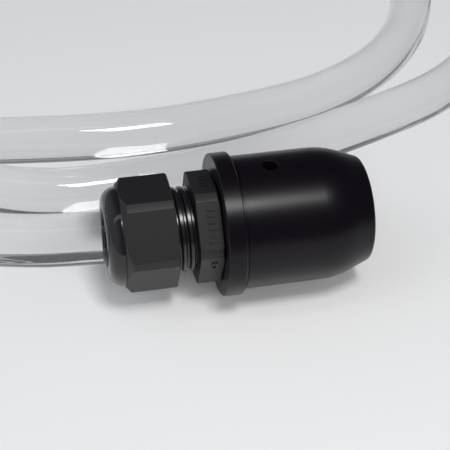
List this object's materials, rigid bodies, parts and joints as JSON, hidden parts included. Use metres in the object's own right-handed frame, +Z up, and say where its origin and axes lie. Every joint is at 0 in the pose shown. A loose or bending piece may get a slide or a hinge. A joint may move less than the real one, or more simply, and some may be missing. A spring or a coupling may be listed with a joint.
{
  "type": "cable gland",
  "caption": "Domed cable gland screwed into a flanged light-guide ferrule, gripping a clear round cable that lies coiled behind it.",
  "frame": {"origin": "bottom centre of the gland with its ferrule, on the table plane, without the free cable", "axes": "+X along the gland's axis from the cable's side to the ferrule's nose, +Z up"},
  "size_m": [0.22, 0.208, 0.0335],
  "materials": {
    "black_nylon": "satin",
    "seal_rubber": "matte",
    "black_anodised": "satin",
    "blackened_steel": "satin",
    "plain_aluminium": "satin",
    "clear_core": "polished",
    "clear_jacket": "polished"
  },
  "bodies": {
    "housing": {"gland_body": "black_nylon", "sealing_sleeve": "seal_rubber", "entry_gasket": "seal_rubber", "ferrule": "black_anodised", "fibre_sleeve": "plain_aluminium", "guide_core": "clear_core", "guide_jacket": "clear_jacket", "cable_turn_1": "clear_jacket", "cable_turn_2": "clear_jacket"},
    "clamp": {"clamp_cage": "black_nylon"},
    "nut": {"dome_nut": "black_nylon"},
    "screw": {"set_screw": "blackened_steel"}
  },
  "joints": [
    {"name": "cage_slide", "type": "slide", "parent": "housing", "child": "clamp", "axis": [-1, 0, 0], "range_m": [0, 0.0046]},
    {"name": "nut_turn", "type": "hinge", "parent": "clamp", "child": "nut", "pos_m": [0, 0, 0.01675], "axis": [-1, 0, 0], "range_deg": [0, 900]},
    {"name": "screw_lift", "type": "slide", "parent": "housing", "child": "screw", "axis": [0, 0.0872, 0.9962], "range_m": [0, 0.003]}
  ],
  "couplings": [
    {"joint": "cage_slide", "follows": "nut_turn", "m_per_rad": 0.00028648}
  ]
}
